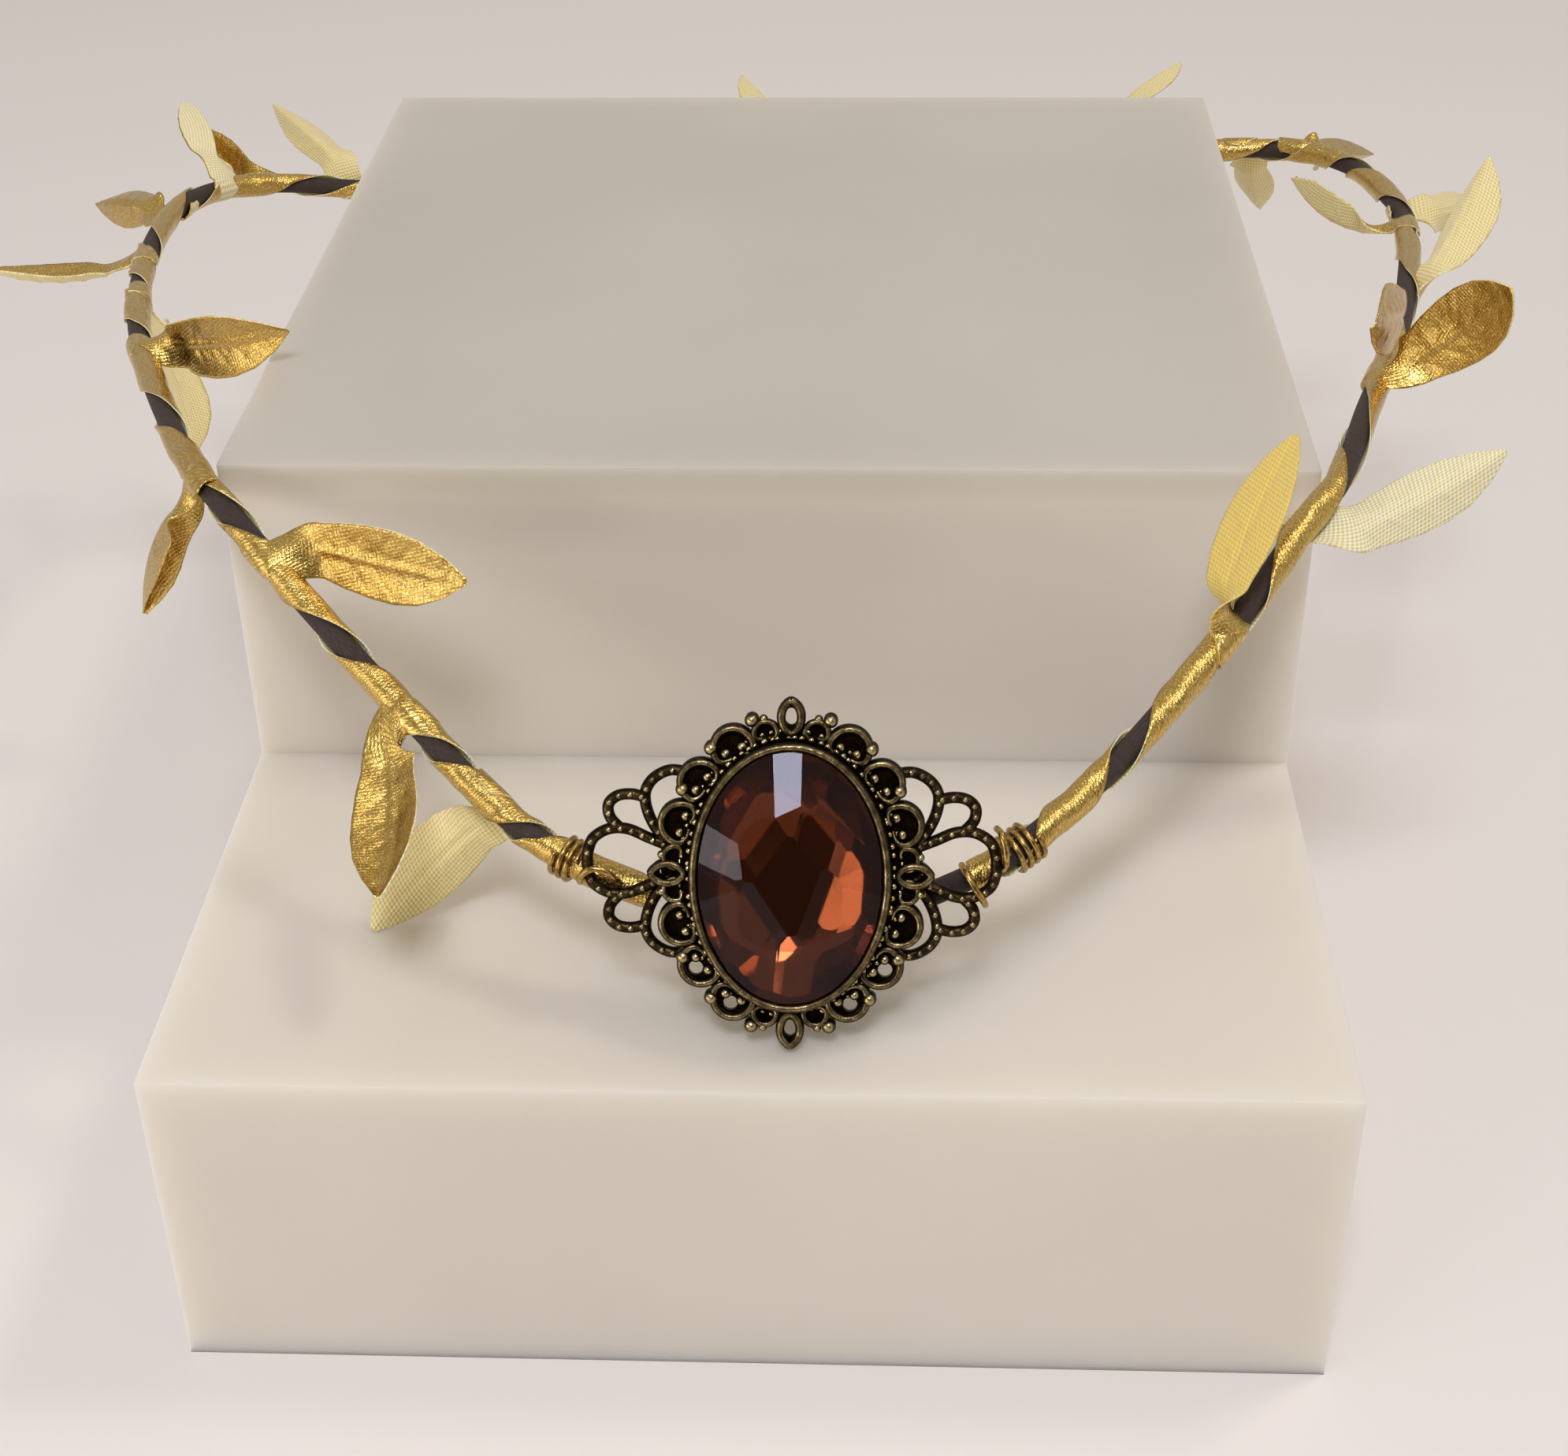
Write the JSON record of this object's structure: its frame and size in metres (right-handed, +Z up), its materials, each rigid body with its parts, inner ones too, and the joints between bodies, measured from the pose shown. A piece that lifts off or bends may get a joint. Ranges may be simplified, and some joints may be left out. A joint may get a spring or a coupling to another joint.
{
  "type": "laurel wreath crown on a stepped display block",
  "caption": "Cord head ring wound with gold foil ribbon and set with cloth laurel leaves, closed by a bronze filigree brooch with a brown oval stone, on a plain two-step display block.",
  "frame": {"origin": "middle of the display block's underside, on the table", "axes": "+X to the right as seen from the front, +Y to the back, +Z up; the brooch is at the front (-Y)"},
  "size_m": [0.2105, 0.2064, 0.0908],
  "materials": {
    "frosted_acrylic": "solid, frosted all over, warm grey white",
    "dark_cord": "dark brown waxed cord over wire",
    "foil_ribbon": "gold foil faced ribbon",
    "foil_leaf_cloth": "gold foil face, pale yellow twill back",
    "antique_bronze": "antiqued, dark hollows and rubbed highlights",
    "lashing_wire": "bronze wire",
    "brown_glass": "faceted smoky brown glass"
  },
  "bodies": {
    "root": {"display_block": "frosted_acrylic", "stem": "dark_cord", "ribbon": "foil_ribbon", "filigree_connector": "antique_bronze", "cameo_setting": "antique_bronze", "oval_stone": "brown_glass", "lashing_left": "lashing_wire", "lashing_right": "lashing_wire", "leaf_01": "foil_leaf_cloth", "leaf_02": "foil_leaf_cloth", "leaf_03": "foil_leaf_cloth", "leaf_04": "foil_leaf_cloth", "leaf_05": "foil_leaf_cloth", "leaf_06": "foil_leaf_cloth", "leaf_07": "foil_leaf_cloth", "leaf_08": "foil_leaf_cloth", "leaf_09": "foil_leaf_cloth", "leaf_10": "foil_leaf_cloth", "leaf_11": "foil_leaf_cloth", "leaf_12": "foil_leaf_cloth", "leaf_13": "foil_leaf_cloth", "leaf_14": "foil_leaf_cloth", "leaf_15": "foil_leaf_cloth", "leaf_16": "foil_leaf_cloth", "leaf_17": "foil_leaf_cloth", "leaf_18": "foil_leaf_cloth", "leaf_19": "foil_leaf_cloth", "leaf_20": "foil_leaf_cloth", "leaf_21": "foil_leaf_cloth", "leaf_22": "foil_leaf_cloth", "leaf_23": "foil_leaf_cloth", "leaf_24": "foil_leaf_cloth", "leaf_25": "foil_leaf_cloth"}
  },
  "joints": []
}
